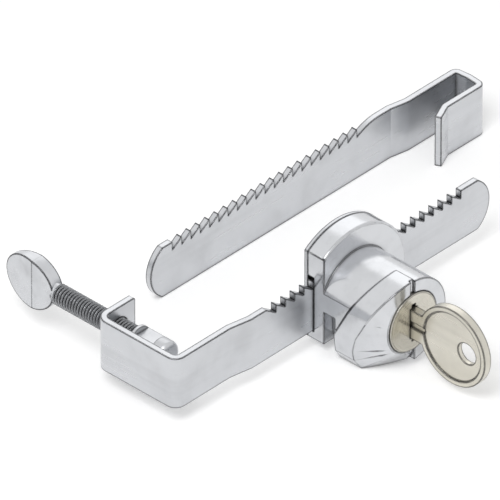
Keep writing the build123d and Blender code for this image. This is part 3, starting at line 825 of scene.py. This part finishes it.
class LOCK_OT_stage(bpy.types.Operator):
    """Camera at the drawing's angle, pale floor and plain soft light"""

    bl_idname = "lock.stage"
    bl_label = "Stage"

    def execute(self, context):
        sizes = context.scene.lock_stage
        self.camera(context, sizes)
        self.floor(sizes)
        self.light(context, sizes)
        context.scene.view_settings.view_transform = "Standard"
        return {"FINISHED"}

    def camera(self, context, sizes):
        """A very long lens far off, so that the view is all but parallel."""
        turn, tilt = sizes.azimuth, sizes.elevation
        back = Vector((math.sin(turn) * math.cos(tilt), -math.cos(turn) * math.cos(tilt), math.sin(tilt)))
        data = bpy.data.cameras.new("view")
        data.lens = sizes.lens
        data.sensor_width = 36.0
        distance = sizes.view_width * sizes.lens / data.sensor_width
        data.clip_start, data.clip_end = 0.1, distance * 3
        view = bpy.data.objects.new("view", data)
        view.location = VIEW_MIDDLE + back * distance
        view.rotation_mode = "QUATERNION"
        view.rotation_quaternion = (-back).to_track_quat("-Z", "Y")
        context.scene.collection.objects.link(view)
        context.scene.camera = view

    def floor(self, sizes):
        """A wide level sheet under the lowest point of the lock."""
        gap, half = 0.02 * MM, 3.0
        level = cad_low.z - gap
        corners = [(-half, -half), (half, -half), (half, half), (-half, half)]
        points = np.array([(x, y, level) for x, y in corners])
        mesh = bpy.data.meshes.new("floor")
        mesh.from_pydata(points.tolist(), [], [[0, 1, 2, 3]])
        sheet = bpy.data.objects.new("floor", mesh)
        bpy.context.scene.collection.objects.link(sheet)
        material, output, start = blank_material("floor_paper")
        place = start.node("ShaderNodeTexCoord", output="Object")
        fibres = noise(start, place, scale=700.0, detail=3.0)
        paper = mixed(start, fibres * 0.06, (*sizes.floor_colour, 1), (0.8, 0.8, 0.8, 1))
        shader = start.tree.nodes.new("ShaderNodeBsdfPrincipled")
        shader.inputs["Roughness"].default_value = 0.9
        shader.inputs["Specular IOR Level"].default_value = 0.1
        start.plug(shader.inputs["Base Color"], paper)
        lift = start.node("ShaderNodeEmission", (), {"Strength": shown_ray(start) * sizes.floor_lift})
        both = start.node("ShaderNodeAddShader", (), {0: Flow(start.tree, shader.outputs[0]), 1: lift})
        start.tree.links.new(both.socket, output.inputs[0])
        sheet.data.materials.append(material)

    def light(self, context, sizes):
        """A pale sky that shows white to the lens and in the metal, and two large soft lamps."""
        world = bpy.data.worlds.new("studio")
        context.scene.world = world
        world.use_nodes = True
        tree = world.node_tree
        tree.nodes.clear()
        start = Flow(tree, None)
        strength = sizes.sky_fill + shown_ray(start) * (1 - sizes.sky_fill)
        sky = start.node("ShaderNodeBackground", (), {"Color": (1, 1, 1, 1), "Strength": strength})
        output = tree.nodes.new("ShaderNodeOutputWorld")
        tree.links.new(sky.socket, output.inputs[0])
        self.lamp("key_lamp", place=(-0.45, -0.15, 0.7), size=0.4, power=sizes.key_power)
        self.lamp("top_lamp", place=(0.5, 0.47, 0.5), size=0.6, power=sizes.top_power)

    def lamp(self, name, place, size, power):
        """A square area lamp that faces the middle of the lock."""
        data = bpy.data.lights.new(name, "AREA")
        data.size = size
        data.energy = power
        lamp = bpy.data.objects.new(name, data)
        middle = (cad_low + cad_high) / 2
        lamp.location = middle + Vector(place)
        lamp.rotation_mode = "QUATERNION"
        lamp.rotation_quaternion = (-Vector(place)).to_track_quat("-Z", "Y")
        bpy.context.scene.collection.objects.link(lamp)


class LOCK_PT_panel(bpy.types.Panel):
    """Lists the lock's pieces and their settings"""

    bl_label = "Showcase lock"
    bl_idname = "LOCK_PT_panel"
    bl_space_type = "VIEW_3D"
    bl_region_type = "UI"
    bl_category = "Showcase lock"

    def draw(self, context):
        for group in GROUPS.values():
            settings = getattr(context.scene, group)
            for name in settings.__annotations__:
                self.layout.prop(settings, name)
        for operator in OPERATORS:
            self.layout.operator(operator.bl_idname)


GROUPS = {
    FinishSettings: "lock_finish",
    ScrewSettings: "lock_screw",
    SpringSettings: "lock_spring",
    StageSettings: "lock_stage",
}
OPERATORS = (
    LOCK_OT_stage, LOCK_OT_bars, LOCK_OT_thumbscrew, LOCK_OT_body, LOCK_OT_key_and_plug, LOCK_OT_springs,
)


def register():
    """Add the settings, the operators and the panel to Blender."""
    for group, name in GROUPS.items():
        bpy.utils.register_class(group)
        setattr(bpy.types.Scene, name, bpy.props.PointerProperty(type=group))
    for operator in OPERATORS:
        bpy.utils.register_class(operator)
    bpy.utils.register_class(LOCK_PT_panel)


def unregister():
    """Take the panel, the operators and the settings out again."""
    bpy.utils.unregister_class(LOCK_PT_panel)
    for operator in reversed(OPERATORS):
        bpy.utils.unregister_class(operator)
    for group, name in GROUPS.items():
        delattr(bpy.types.Scene, name)
        bpy.utils.unregister_class(group)


def main():
    """Build every piece in turn."""
    register()
    bpy.ops.lock.stage()
    bpy.ops.lock.bars()
    bpy.ops.lock.thumbscrew()
    bpy.ops.lock.body()
    bpy.ops.lock.key_and_plug()
    bpy.ops.lock.springs()


if __name__ == "__main__":
    main()
